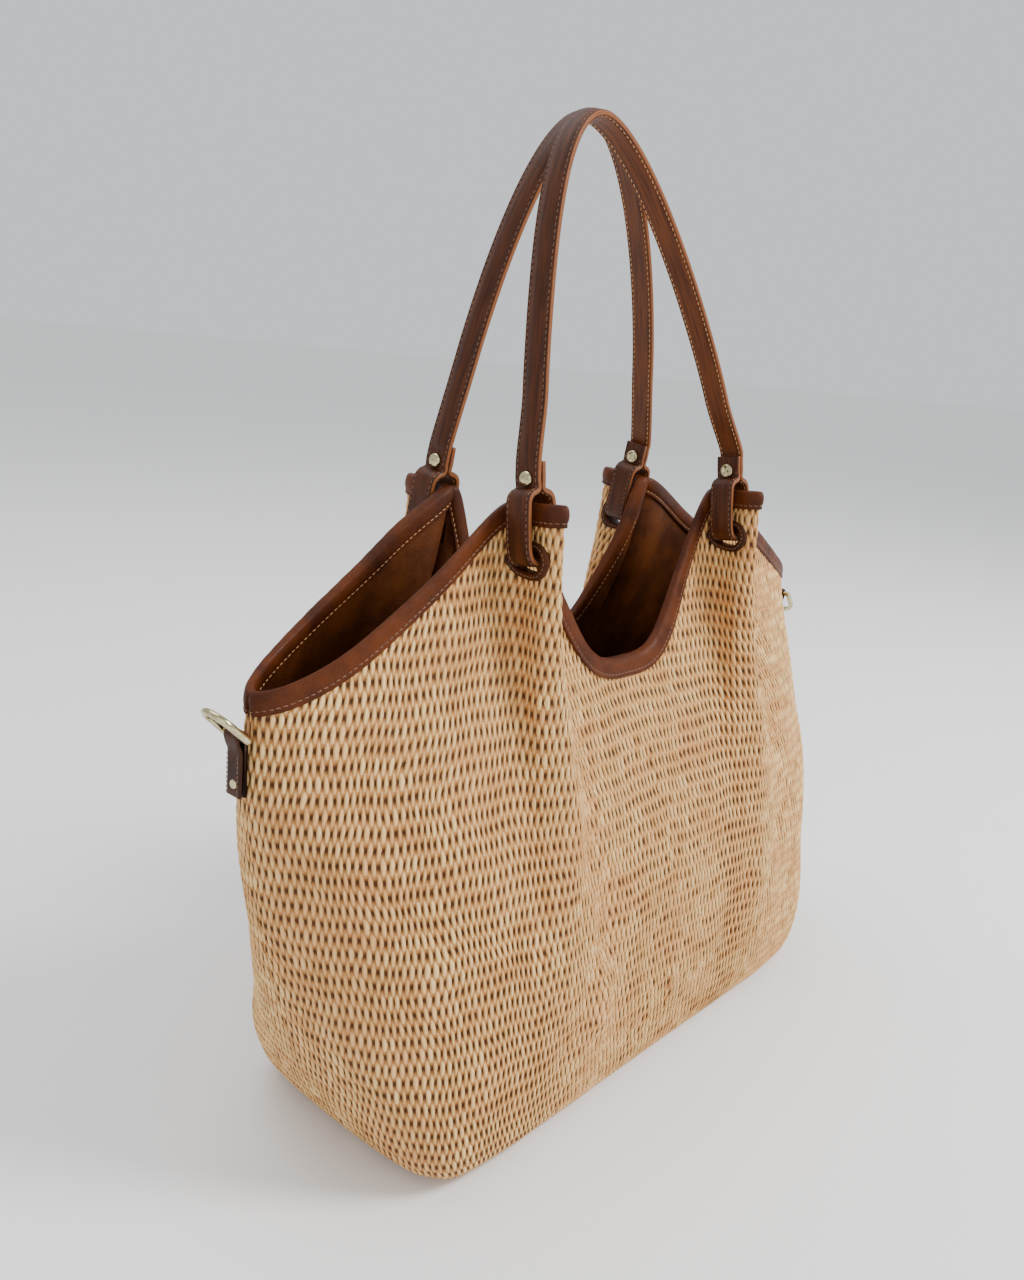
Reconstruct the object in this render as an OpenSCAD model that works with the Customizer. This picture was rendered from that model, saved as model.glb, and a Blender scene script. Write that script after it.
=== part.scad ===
// Woven summer tote with leather trim: a soft lined body with a scalloped mouth, two padded
// leather handles threaded through slots in four pinched corners, and a D-ring at each end.
// X runs along the bag, -Y is the front, Z is up. The origin is on the floor under the mouth.

/* [Body] */
// Length of the flat base
base_length = 372; // [340:1:400]
// Width of the flat base
base_width = 152; // [140:1:170]
// Greatest length of the bulging body
belly_length = 506; // [480:1:530]
// Width of the body a third of the way up
belly_width = 176; // [160:1:190]
// Length of the mouth from end seam to end seam
mouth_length = 484; // [460:1:500]
// Height of the mouth edge at the four corner peaks
peak_height = 349; // [342:1:352]
// Height of the mouth edge at the left end
left_dip_height = 262; // [250:1:275]
// Height of the mouth edge at the right end
right_dip_height = 280; // [250:1:290]
// Height of the mouth edge at the middle of the front and back
centre_dip_height = 252; // [245:1:270]
// How steeply the mouth edge drops from the folds to the middle of the front
front_dip_steepness = 1.7; // [1.2:0.1:3]
// How steeply it drops at the back
back_dip_steepness = 2.5; // [1.2:0.1:3.5]
// How far the base sits in front of the mouth
base_offset = 14; // [0:1:16]
// How far both ends sag towards the right
end_sag = 4; // [0:0.5:6]

/* [Corner folds] */
// Distance of each front fold from the middle of the bag
front_fold_x = 100; // [96:1:104]
// Distance of each back fold from the middle of the bag
back_fold_x = 95; // [88:1:104]
// How far the tip of a fold stands out from the middle plane
fold_reach = 61; // [58:1:64]
// Half thickness of a fold at its top
fold_half_thickness = 4.6; // [4.4:0.1:5]

/* [Cloth and leather] */
// Thickness of the woven cloth
weave_thickness = 2; // [1.6:0.1:2.2]
// Thickness of the lining
lining_thickness = 0.8; // [0.6:0.1:1]
// Thickness of the binding and patch leather
trim_thickness = 1; // [0.8:0.1:1.2]
// Width of the binding on each side of the mouth edge
binding_width = 10; // [8:0.5:14]
// Thickness of the stiffening board in the base
board_thickness = 2; // [1.5:0.1:2.5]

/* [Handles] */
// Width of the handle straps
strap_width = 16; // [14:0.5:16.5]
// Height of the top of the front handle before it leans inwards
front_handle_height = 556; // [540:1:580]
// Height of the top of the back handle before it leans inwards
back_handle_height = 562; // [540:1:580]
// Distance of the strap slots from the middle plane
slot_y = 42; // [41:0.5:43]
// Height of the middle of the strap slots
slot_z = 322; // [320:1:323]
// Height of the rivets above the slots
rivet_rise = 42; // [41:0.5:43]
// Sideways lean of the top of the front handle
front_lean = -42; // [-50:1:0]
// Sideways lean of the top of the back handle
back_lean = -20; // [-50:1:0]

/* [D-rings] */
// Radius of the ring wire
wire_radius = 1.8; // [1.6:0.1:2]
// Inner width of a ring along its straight bar
ring_width = 15; // [13:0.5:17]
// Height of the bar of the left ring
left_ring_z = 244; // [236:1:246]
// Height of the bar of the right ring
right_ring_z = 258; // [250:1:262]
// Lean of the left D-ring away from upright
left_ring_tilt = 46; // [12:1:150]
// Lean of the right D-ring, which hangs
right_ring_tilt = 140; // [12:1:150]

/* [Hidden] */
$fn = 48;

LEFT = -1;
RIGHT = 1;
FRONT = -1;
BACK = 1;

straw = [0.80, 0.68, 0.50];
cognac = [0.42, 0.20, 0.09];
dark_lining = [0.30, 0.14, 0.07];
nickel = [0.78, 0.75, 0.66];
card = [0.45, 0.38, 0.30];

// Plan of one quarter of the body at a few heights: height, half length, squareness of the end,
// half width beside the fold, half width at the tip of the fold, half thickness of the fold,
// half width at the middle.
LEVELS = [
    [0, base_length / 2, 4.2, base_width / 2, base_width / 2, 34, base_width / 2],
    [20, base_length / 2 + 16, 3.8, 84, 84, 34, 83],
    [70, 226, 2.4, belly_width / 2, 89, 34, belly_width / 2],
    [140, belly_length / 2 - 7, 1.9, 81, 88, 34, 81],
    [200, belly_length / 2, 1.8, 67, 81, 28, 61],
    [250, mouth_length / 2 + 8, 1.7, 49, 71, 17, 38],
    [300, mouth_length / 2 + 4, 1.6, 34, fold_reach + 3, 8, 30],
    [358, mouth_length / 2, 1.5, 27, fold_reach - 1, fold_half_thickness, 26]];
LAST = len(LEVELS) - 1;
SLOPES = [for (i = [0:LAST]) let (a = max(i - 1, 0), b = min(i + 1, LAST))
    (LEVELS[b] - LEVELS[a]) / (LEVELS[b][0] - LEVELS[a][0])];

// The quarter outline is a smooth curve through eleven points, numbered 0 at the end seam,
// FOLD_START to FOLD_END round the fold, and MIDDLE at the middle of the front or back.
FOLD_START = 4;
FOLD_TIP = 6;
FOLD_END = 8;
MIDDLE = 10;
QUARTER = concat([for (u = [0:0.5:FOLD_START]) u], [for (u = [FOLD_START + 0.25:0.25:FOLD_END]) u],
    [for (u = [FOLD_END + 0.2:0.2:MIDDLE]) u]);
COUNT = len(QUARTER);
// Columns from the left end seam to the right one, as [outline place, side].
COLUMNS = concat([for (u = QUARTER) [u, LEFT]],
    [for (i = [COUNT - 2:-1:0]) [QUARTER[i], RIGHT]]);
// Heights of the rows of a panel, as shares of the mouth height.
ROWS = [0, 0.025, 0.06, 0.13, 0.26, 0.42, 0.58, 0.74, 0.88, 1];

seam_gap = 0.15;
layer_gap = 0.15;
lining_depth = weave_thickness + layer_gap;
cloth_depth = lining_depth + lining_thickness;
base_blend = 45;

slot_width = strap_width + 4;
slot_height = 13;
patch_width = 27;
patch_shift = 1.5;
patch_height = 20.5;
patch_hole_height = slot_height + 0.6;

strap_layer = 1.6;
strap_gap = 0.1;
padding = 1.9;
handle_tilt = atan((slot_y - strap_width / 2 - 0.4) / (front_handle_height - slot_z));
post_radius = 1.4;
cap_radius = 4.2;
cap_height = 2.2;
washer_radius = 4.2;
washer_height = 1;
strap_offset = 2.1;
tab_offset = -strap_offset + 0.4;

ring_reach = 20;
tab_width = 11;
tab_leather = 1.6;
tab_length = 30;
ring_play = 0.08;
ring_rivet_drop = 24;

function clamp01(x) = min(1, max(0, x));
function smooth(a, b, x) = let (t = clamp01((x - a) / (b - a))) t * t * (3 - 2 * t);
function segment(z, i = 0) = (i >= LAST - 1 || z < LEVELS[i + 1][0]) ? i : segment(z, i + 1);

// Smooth blend of the level rows at height z.
function level(z) = let (i = segment(z), h = LEVELS[i + 1][0] - LEVELS[i][0],
        t = (z - LEVELS[i][0]) / h)
    (2 * t^3 - 3 * t^2 + 1) * LEVELS[i] + (t^3 - 2 * t^2 + t) * h * SLOPES[i]
    + (3 * t^2 - 2 * t^3) * LEVELS[i + 1] + (t^3 - t^2) * h * SLOPES[i + 1];

function fold_x(face) = face == FRONT ? front_fold_x : back_fold_x;

// Outline point i of a level L, moved inwards by depth d, with its fold at distance x.
function outline(i, L, d, x) =
    let (xe = L[1] - d, n = L[2], yr = L[3] - d, yt = L[4] - d, g = L[5] - d, yc = L[6] - d,
        xr = x + g, turn = 90 / FOLD_START * i, narrow = 1 - smooth(fold_half_thickness, 34, L[5]),
        shoulder = g * (0.5 + 0.3 * narrow), ys = yr + (0.55 + 0.2 * narrow) * (yt - yr))
    i < 0 ? let (p = outline(-i, L, d, x)) [p[0], -p[1]] :
    i < FOLD_START ? [xr + (xe - xr) * pow(cos(turn), 2 / n), yr * pow(sin(turn), 2 / n)] :
    i == FOLD_START ? [xr, yr] :
    i == FOLD_START + 1 ? [x + shoulder, ys] :
    i == FOLD_TIP ? [x, yt] :
    i == FOLD_TIP + 1 ? [x - shoulder, ys] :
    i == FOLD_END ? [x - g, yr] :
    i == FOLD_END + 1 ? [0.45 * x, yc + 0.3 * (yr - yc)] :
    i == MIDDLE ? [0, yc] : let (p = outline(2 * MIDDLE - i, L, d, x)) [-p[0], p[1]];

function spline(a, b, c, d, t) =
    0.5 * (2 * b + (c - a) * t + (2 * a - 5 * b + 4 * c - d) * t^2 + (3 * b - a - 3 * c + d) * t^3);

// Point of the body's surface at outline place u and height z, at depth d inside the cloth.
function body_point(u, z, d, side, face) =
    let (L = level(z), i = min(floor(u), MIDDLE - 1), x = fold_x(face), p = spline(
            outline(i - 1, L, d, x), outline(i, L, d, x), outline(i + 1, L, d, x),
            outline(i + 2, L, d, x), u - i))
    [side * p[0] + end_sag * pow(p[0] * 2 / belly_length, 2),
        face * (max(p[1], 0) + seam_gap) - base_offset * (1 - smooth(60, 300, z)), z];

// Height of the mouth edge at outline place u.
function mouth(u, side, face) =
    let (low = side == LEFT ? left_dip_height : right_dip_height,
        steepness = face == FRONT ? front_dip_steepness : back_dip_steepness,
        a = clamp01(u / FOLD_START), b = clamp01((u - FOLD_END) / (MIDDLE - FOLD_END)))
    u < FOLD_START ? low + (peak_height - low) * (0.15 * a + 0.85 * smooth(0, 1, pow(a, 1.6))) :
    u < FOLD_END ? peak_height + 3 * sin(180 * (u - FOLD_START) / (FOLD_END - FOLD_START)) :
    peak_height - (peak_height - centre_dip_height) * smooth(0, 1, 1 - pow(1 - b, steepness));

// Length of cloth along a row for one step of u.
function stretch(u, z, side, face) = let (a = max(u - 0.05, 0), b = min(u + 0.05, MIDDLE))
    norm(body_point(b, z, 0, side, face) - body_point(a, z, 0, side, face)) / (b - a);

// Point of the surface a distance w below the mouth edge, measured square to the edge.
function below_edge(u, w, d, side, face) =
    let (z = mouth(u, side, face), a = max(u - 0.05, 0), b = min(u + 0.05, MIDDLE),
        rise = (mouth(b, side, face) - mouth(a, side, face)) / (b - a),
        s = stretch(u, z, side, face),
        l = norm([s, rise]))
    body_point(min(MIDDLE, max(0, u + w * rise / l / s)), z - w * s / l, d, side, face);

// A height near the floor lifted by the layers that lie under it in the base.
function lifted(z, lift) = z + lift * (1 - smooth(0, base_blend, z));

// Points of one skin of a panel, row by row from the base up.
function skin(face, d, lift, drop) = [for (t = ROWS) [for (c = COLUMNS)
    let (z = t * (mouth(c[0], c[1], face) - drop), p = body_point(c[0], z, d, c[1], face))
    [p[0], p[1], lifted(z, lift)]]];

// A closed sheet between two skins of the same grid, with a flat base closed along the middle.
module panel(face, d, thickness, lift, drop) {
    outer = skin(face, d, lift, drop);
    inner = skin(face, d + thickness, lift + thickness, drop);
    rows = len(ROWS);
    cols = len(COLUMNS);
    points = [for (s = [outer, inner]) for (row = s) for (p = row) p];
    function o(r, c) = r * cols + c;
    function i(r, c) = rows * cols + r * cols + c;
    grid = [for (r = [0:rows - 2]) for (c = [0:cols - 2]) each [
        [o(r, c), o(r + 1, c), o(r + 1, c + 1)], [o(r, c), o(r + 1, c + 1), o(r, c + 1)],
        [i(r, c), i(r + 1, c + 1), i(r + 1, c)], [i(r, c), i(r, c + 1), i(r + 1, c + 1)]]];
    rim = [for (c = [0:cols - 2]) let (r = rows - 1) each [
        [o(r, c), i(r, c), i(r, c + 1)], [o(r, c), i(r, c + 1), o(r, c + 1)]]];
    ends = [for (r = [0:rows - 2]) let (c = cols - 1) each [
        [o(r, 0), i(r, 0), i(r + 1, 0)], [o(r, 0), i(r + 1, 0), o(r + 1, 0)],
        [o(r, c), o(r + 1, c), i(r + 1, c)], [o(r, c), i(r + 1, c), i(r, c)]]];
    base = [[for (c = [0:cols - 1]) o(0, c)], [for (c = [cols - 1:-1:0]) i(0, c)],
        [o(0, 0), o(0, cols - 1), i(0, cols - 1), i(0, 0)]];
    faces = concat(grid, rim, ends, base);
    polyhedron(points, face == FRONT ? faces : [for (f = faces) [for (k = [len(f) - 1:-1:0]) f[k]]]);
}

// Faces across the end of a tube, joining each ring point to the one that faces it.
function cap(n, first, start) = [for (k = [0:n / 2 - 2]) let (m = n - 1 - k)
    start ? [first + k, first + m, first + m - 1, first + k + 1]
        : [first + k, first + k + 1, first + m - 1, first + m]];

// A closed tube through rings that all have the same number of points. The second half of each
// ring runs back beside the first half.
module tube(rings) {
    n = len(rings[0]);
    last = len(rings) - 1;
    walls = [for (r = [0:last - 1]) for (k = [0:n - 1]) let (m = (k + 1) % n) each [
        [r * n + k, r * n + m, (r + 1) * n + m], [r * n + k, (r + 1) * n + m, (r + 1) * n + k]]];
    polyhedron([for (r = rings) for (p = r) p],
        concat(walls, cap(n, 0, true), cap(n, last * n, false)));
}

module stadium(width, height) {
    square([width - height, height], center = true);
    for (s = [-1, 1]) translate([s * (width - height) / 2, 0]) circle(d = height);
}

// A bar along X at one corner slot, with its outline in the YZ plane.
module through_corner(side, face, length) {
    translate([side * fold_x(face) - length / 2, face * slot_y, slot_z])
        rotate([90, 0, 90]) linear_extrude(length) children();
}

module slots(face) {
    for (side = [LEFT, RIGHT])
        through_corner(side, face, 28) square([slot_width, slot_height], center = true);
}

module woven(face) {
    color(straw) difference() {
        panel(face, 0, weave_thickness, 0, 0);
        slots(face);
    }
}
module woven_front() { woven(FRONT); }
module woven_back() { woven(BACK); }

module lining(face) {
    base_lift = board_thickness + 2 * layer_gap + weave_thickness;
    color(dark_lining) difference() {
        panel(face, lining_depth, lining_thickness, base_lift, 0.1);
        slots(face);
    }
}
module lining_front() { lining(FRONT); }
module lining_back() { lining(BACK); }

module base_board() {
    edge = [for (face = [FRONT, BACK]) let (n = len(COLUMNS) - 1)
        for (k = [1:n - 1]) let (c = COLUMNS[face == FRONT ? k : n - k])
            body_point(c[0], 0, weave_thickness + 3, c[1], face)];
    color(card) translate([0, 0, weave_thickness + layer_gap])
        linear_extrude(board_thickness) polygon([for (p = edge) [p[0], p[1]]]);
}

// The binding wraps the mouth edge as a folded strip with two long edges.
module binding(face) {
    inner = cloth_depth + layer_gap;
    section = [[-layer_gap - trim_thickness, binding_width],
        [-layer_gap - trim_thickness, -layer_gap - trim_thickness],
        [inner + trim_thickness, -layer_gap - trim_thickness], [inner + trim_thickness, binding_width],
        [inner, binding_width], [inner, -layer_gap], [-layer_gap, -layer_gap],
        [-layer_gap, binding_width]];
    rings = [for (c = COLUMNS) [for (s = section) below_edge(c[0], s[1], s[0], c[1], face)]];
    color(cognac) tube(face == FRONT ? rings : [for (r = rings) [for (k = [7:-1:0]) r[k]]]);
}
module binding_front() { binding(FRONT); }
module binding_back() { binding(BACK); }

// Distance of the widest part of a fold's flat face from its middle, at height z.
function fold_face(z) = max([for (u = [FOLD_START + 0.2:0.2:FOLD_START + 1.2])
    body_point(u, z, 0, RIGHT, BACK)[0] - back_fold_x]);

// A pair of leather patches, one on each face of a corner fold, with the strap slot cut through.
module patches(side, face) {
    low = fold_face(slot_z - patch_height / 2);
    high = fold_face(slot_z + patch_height / 2);
    color(cognac) translate([side * fold_x(face), face * slot_y, slot_z]) for (way = [-1, 1])
        mirror([way < 0 ? 1 : 0, 0, 0]) translate([(low + high) / 2 + layer_gap, 0, 0])
            rotate([0, -atan((low - high) / patch_height), 0])
                rotate([90, 0, 90]) linear_extrude(trim_thickness) difference() {
                    translate([face * patch_shift, 0]) stadium(patch_width, patch_height);
                    stadium(slot_width + 1, patch_hole_height);
                }
}
module patches_front_left() { patches(LEFT, FRONT); }
module patches_front_right() { patches(RIGHT, FRONT); }
module patches_back_left() { patches(LEFT, BACK); }
module patches_back_right() { patches(RIGHT, BACK); }

// Middle line of the right-hand strap loop, from its riveted end round the slot to the rivet,
// as [x from the fold, z from the slot, fullness of the padding].
LOOP = [[tab_offset, rivet_rise + 9, 0], [tab_offset, rivet_rise, 0],
    [tab_offset, rivet_rise - 5.2, 0], [-7, rivet_rise - 7.6, 0], [-9.4, 31, 0],
    [-10, 24, 0], [-10.2, 12, 0], [-10, 6, 0], [-8.6, 1.2, 0], [-5, -1.4, 0], [0, -2, 0],
    [5, -1.4, 0], [8.6, 1.2, 0], [10, 6, 0], [10.2, 12, 0], [10, 24, 0], [9.4, 31, 0],
    [7, rivet_rise - 7.6, 0],
    [strap_offset, rivet_rise - 5.2, 0], [strap_offset, rivet_rise, 0],
    [strap_offset - 0.4, rivet_rise + 6, 0], [strap_offset - 1.4, rivet_rise + 14, 0.7]];
foot_inset = 0.1;

function arch_height(face) = -strap_layer - padding - slot_z - rivet_rise
    + (face == FRONT ? front_handle_height : back_handle_height);
function lean(face) = face == FRONT ? front_lean : back_lean;
// Fullness of the sides of each arch.
function fullness(face) = face == FRONT ? 1.12 : 1.3;

// Middle line of a handle's arch, from its right foot to its left foot.
function arch(turn, face) =
    let (x = sign(cos(turn)) * pow(abs(cos(turn)), 2 / 1.9), z = pow(sin(turn), 2 / fullness(face)))
    [(fold_x(face) - foot_inset) * x + lean(face) * pow(z, 1.3),
        rivet_rise + arch_height(face) * z, 1];

function handle_line(face) = concat(
    [for (p = LOOP) [fold_x(face) + p[0], p[1], p[2]]],
    [for (turn = [24:6:156]) arch(turn, face)],
    [for (k = [len(LOOP) - 1:-1:0]) [-fold_x(face) - LOOP[k][0], LOOP[k][1], LOOP[k][2]]]);

// Rings along part of the handle; each section point is [across, out, out when padded].
function handle_rings(line, section, first, last) = [for (k = [first:last])
    let (a = line[max(k - 1, 0)], b = line[min(k + 1, len(line) - 1)],
        t = [b[0] - a[0], b[1] - a[1]], out = [t[1], -t[0]] / norm(t), p = line[k])
    [for (s = section) let (n = s[1] + p[2] * s[2]) [p[0] + n * out[0], s[0], p[1] + n * out[1]]]];

function swell(y) = let (half = strap_width / 2 - 2) padding * max(0, 1 - pow(y / half, 2));
ACROSS = [for (share = [-1, -0.75, -0.5, -0.25, 0, 0.25, 0.5, 0.75, 1]) share * strap_width / 2];

// Stands a handle's own XZ plane on its slots, leaning in towards the other handle.
module place_handle(face) {
    translate([0, face * slot_y, slot_z]) rotate([face * handle_tilt, 0, 0]) children();
}

module post_holes(face) {
    for (side = [LEFT, RIGHT])
        translate([side * fold_x(face), 0, rivet_rise]) rotate([0, 90, 0])
            cylinder(r = post_radius + 0.05, h = 24, center = true);
}

module handle_leather(face) {
    line = handle_line(face);
    section = concat([for (y = ACROSS) [y, strap_layer + strap_gap / 2, swell(y)]],
        [for (k = [8:-1:0]) [ACROSS[k], strap_gap / 2, swell(ACROSS[k])]]);
    color(cognac) place_handle(face) difference() {
        tube(handle_rings(line, section, 0, len(line) - 1));
        post_holes(face);
    }
}
module handle_front_leather() { handle_leather(FRONT); }
module handle_back_leather() { handle_leather(BACK); }

module handle_backing(face) {
    line = handle_line(face);
    half = strap_width / 2;
    section = [[-half, -strap_gap / 2, 0], [half, -strap_gap / 2, 0],
        [half, -strap_gap / 2 - strap_layer, 0], [-half, -strap_gap / 2 - strap_layer, 0]];
    color(cognac) place_handle(face) difference() {
        tube(handle_rings(line, section, 0, len(line) - 1));
        post_holes(face);
    }
}
module handle_front_backing() { handle_backing(FRONT); }
module handle_back_backing() { handle_backing(BACK); }

module handle_core(face) {
    line = handle_line(face);
    start = len(LOOP);
    ys = [for (k = [2:6]) ACROSS[k]];
    section = concat([for (y = ys) [y, 0.1, swell(y) - 0.25]], [for (k = [4:-1:0]) [ys[k], -0.02, 0]]);
    color(card) place_handle(face)
        tube(handle_rings(line, section, start, len(line) - 1 - start));
}
module handle_front_core() { handle_core(FRONT); }
module handle_back_core() { handle_core(BACK); }

// Places things at a handle's rivet, with +X pointing out of the strap.
module at_rivet(side, face) {
    place_handle(face) translate([side * fold_x(face), 0, rivet_rise])
        mirror([side == LEFT ? 1 : 0, 0, 0]) children();
}

strap_face = strap_offset + strap_layer + strap_gap / 2;
tab_face = tab_offset - strap_layer - strap_gap / 2;

// A domed cap on a post that runs through both ends of the strap.
module rivet(side, face) {
    dome = (cap_radius * cap_radius + cap_height * cap_height) / (2 * cap_height);
    color(nickel) at_rivet(side, face) {
        translate([strap_face + 0.25, 0, 0]) rotate([0, 90, 0]) rotate_extrude()
            intersection() {
                translate([0, cap_height - dome]) circle(r = dome, $fn = 96);
                square([cap_radius, cap_height]);
            }
        translate([tab_face - 0.6, 0, 0]) rotate([0, 90, 0])
            cylinder(r = post_radius, h = strap_face - tab_face + 0.95);
    }
}
module rivet_front_left() { rivet(LEFT, FRONT); }
module rivet_front_right() { rivet(RIGHT, FRONT); }
module rivet_back_left() { rivet(LEFT, BACK); }
module rivet_back_right() { rivet(RIGHT, BACK); }

// The dished ring that the rivet is set against on the inner side.
module washer(side, face) {
    color(nickel) at_rivet(side, face) translate([tab_face - 0.2 - washer_height, 0, 0])
        rotate([0, 90, 0]) rotate_extrude()
            polygon([[post_radius + 0.05, washer_height], [post_radius + 0.05, 0.5],
                [washer_radius - 1.2, 0], [washer_radius - 0.4, 0], [washer_radius, 0.5],
                [washer_radius, washer_height]]);
}
module washer_front_left() { washer(LEFT, FRONT); }
module washer_front_right() { washer(RIGHT, FRONT); }
module washer_back_left() { washer(LEFT, BACK); }
module washer_back_right() { washer(RIGHT, BACK); }

function ring_z(side) = side == LEFT ? left_ring_z : right_ring_z;
tab_bore = wire_radius + ring_play;
tab_radius = tab_bore + tab_leather;
// Widest point of the end seam over the height of a ring tab.
function tab_wall(side) = max([for (z = [ring_z(side) - tab_length:5:ring_z(side) + 5])
    side * body_point(0, z, 0, side, BACK)[0]]);

// Places things on the bar of a ring, with +X pointing away from the bag.
module at_ring(side) {
    translate([side * (tab_wall(side) + tab_radius + 1.3), -base_offset * (1 - smooth(60, 300, ring_z(side))),
        ring_z(side)]) mirror([side == LEFT ? 1 : 0, 0, 0]) children();
}

// A leather strip folded round the bar of the ring, its two ends lying flat down the end seam.
module ring_tab(side) {
    color(cognac) at_ring(side) difference() {
        rotate([90, 0, 0]) linear_extrude(tab_width, center = true) difference() {
            union() {
                circle(r = tab_radius);
                translate([-tab_radius, -tab_length]) square([2 * tab_leather + 0.2, tab_length]);
            }
            circle(r = tab_bore);
        }
        translate([-tab_radius - 1, 0, -ring_rivet_drop]) rotate([0, 90, 0])
            cylinder(r = post_radius + 0.05, h = 10);
    }
}
module ring_tab_left() { ring_tab(LEFT); }
module ring_tab_right() { ring_tab(RIGHT); }

module ring_rivet(side) {
    color(nickel) at_ring(side) translate([-tab_radius, 0, -ring_rivet_drop]) rotate([0, 90, 0]) {
        cylinder(r = post_radius, h = 2 * tab_leather + 0.5);
        translate([0, 0, 2 * tab_leather + 0.4]) cylinder(r1 = 3, r2 = 2, h = 1.2);
    }
}
module ring_rivet_left() { ring_rivet(LEFT); }
module ring_rivet_right() { ring_rivet(RIGHT); }

// A D of round wire whose straight bar lies in the tab.
module d_ring(side) {
    half = ring_width / 2 + wire_radius;
    arm = ring_reach - half;
    color(nickel) at_ring(side) rotate([0, side == LEFT ? left_ring_tilt : right_ring_tilt, 0]) {
        rotate([90, 0, 0]) cylinder(r = wire_radius, h = 2 * half, center = true);
        for (s = [-1, 1]) translate([0, s * half, 0]) {
            sphere(r = wire_radius);
            cylinder(r = wire_radius, h = arm);
        }
        translate([0, 0, arm]) rotate([90, 0, 90])
            rotate_extrude(angle = 180) translate([half, 0]) circle(r = wire_radius);
    }
}
module ring_left() { d_ring(LEFT); }
module ring_right() { d_ring(RIGHT); }

woven_front();
woven_back();
lining_front();
lining_back();
base_board();
binding_front();
binding_back();
patches_front_left();
patches_front_right();
patches_back_left();
patches_back_right();
handle_front_leather();
handle_front_core();
handle_front_backing();
handle_back_leather();
handle_back_core();
handle_back_backing();
rivet_front_left();
rivet_front_right();
rivet_back_left();
rivet_back_right();
washer_front_left();
washer_front_right();
washer_back_left();
washer_back_right();
ring_tab_left();
ring_tab_right();
ring_rivet_left();
ring_rivet_right();
ring_left();
ring_right();
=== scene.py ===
"""Looks of a woven summer tote with leather trim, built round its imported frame.

Shapes are worked out in millimetres from the same driving dimensions as the part and are
written in metres. LEFT and FRONT are -1, RIGHT and BACK are 1.
"""

import math

import bpy
import numpy as np
from mathutils import Matrix, Vector


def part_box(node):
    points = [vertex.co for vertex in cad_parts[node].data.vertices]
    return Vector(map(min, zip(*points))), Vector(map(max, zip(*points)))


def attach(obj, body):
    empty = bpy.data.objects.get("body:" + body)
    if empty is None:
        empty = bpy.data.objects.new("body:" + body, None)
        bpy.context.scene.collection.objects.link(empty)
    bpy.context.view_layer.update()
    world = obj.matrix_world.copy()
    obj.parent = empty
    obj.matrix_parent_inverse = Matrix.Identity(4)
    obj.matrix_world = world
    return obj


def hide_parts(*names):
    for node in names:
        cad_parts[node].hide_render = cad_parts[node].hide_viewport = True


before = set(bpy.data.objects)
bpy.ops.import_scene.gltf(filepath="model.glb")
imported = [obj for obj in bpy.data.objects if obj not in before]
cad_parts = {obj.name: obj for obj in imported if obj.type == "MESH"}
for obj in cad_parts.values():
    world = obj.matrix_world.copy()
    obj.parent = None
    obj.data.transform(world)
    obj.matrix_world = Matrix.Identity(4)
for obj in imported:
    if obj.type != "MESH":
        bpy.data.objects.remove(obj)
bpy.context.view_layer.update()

MM = 0.001
LEFT, RIGHT, FRONT, BACK = -1, 1, -1, 1
FACES = {"front": FRONT, "back": BACK}
SIDES = {"left": LEFT, "right": RIGHT}

# Body
BASE_LENGTH, BASE_WIDTH = 372, 152
BELLY_LENGTH, BELLY_WIDTH = 506, 176
MOUTH_LENGTH = 484
PEAK_HEIGHT, CENTRE_DIP_HEIGHT = 349, 252
DIP_STEEPNESS = {FRONT: 1.7, BACK: 2.5}
END_DIP_HEIGHT = {LEFT: 262, RIGHT: 280}
BASE_OFFSET, END_SAG = 14, 4
FOLD_X = {FRONT: 100, BACK: 95}
FOLD_REACH, FOLD_HALF_THICKNESS = 61, 4.6
SEAM_GAP = 0.15
LINING_DEPTH, CLOTH_DEPTH = 2.15, 2.95
BINDING_WIDTH = 10

# Handles
STRAP_WIDTH, STRAP_LAYER, STRAP_GAP, PADDING = 16, 1.6, 0.1, 1.9
HANDLE_HEIGHT = {FRONT: 556, BACK: 562}
HANDLE_LEAN = {FRONT: -42, BACK: -20}
HANDLE_FULLNESS = {FRONT: 1.12, BACK: 1.3}
SLOT_Y, SLOT_Z, RIVET_RISE = 42, 322, 42
SLOT_WIDTH, SLOT_HEIGHT = 20, 13
PATCH_WIDTH, PATCH_HEIGHT, PATCH_SHIFT = 27, 20.5, 1.5

# Weave: one visible float of the vertical yarn is COLUMN wide and ROW tall
COLUMN, ROW = 4.0, 7.5
COLUMN_STEPS, ROW_STEPS = 4, 5
YARN_RELIEF = 1.3
EDGE_RADIUS = 9

LEVELS = np.array([
    [0, BASE_LENGTH / 2, 4.2, BASE_WIDTH / 2, BASE_WIDTH / 2, 34, BASE_WIDTH / 2],
    [20, BASE_LENGTH / 2 + 16, 3.8, 84, 84, 34, 83],
    [70, 226, 2.4, BELLY_WIDTH / 2, 89, 34, BELLY_WIDTH / 2],
    [140, BELLY_LENGTH / 2 - 7, 1.9, 81, 88, 34, 81],
    [200, BELLY_LENGTH / 2, 1.8, 67, 81, 28, 61],
    [250, MOUTH_LENGTH / 2 + 8, 1.7, 49, 71, 17, 38],
    [300, MOUTH_LENGTH / 2 + 4, 1.6, 34, FOLD_REACH + 3, 8, 30],
    [358, MOUTH_LENGTH / 2, 1.5, 27, FOLD_REACH - 1, FOLD_HALF_THICKNESS, 26]])
LAST = len(LEVELS) - 1
HEIGHTS = LEVELS[:, 0]
BEFORE = np.maximum(np.arange(LAST + 1) - 1, 0)
AFTER = np.minimum(np.arange(LAST + 1) + 1, LAST)
SLOPES = (LEVELS[AFTER] - LEVELS[BEFORE]) / (HEIGHTS[AFTER] - HEIGHTS[BEFORE])[:, None]
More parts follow.
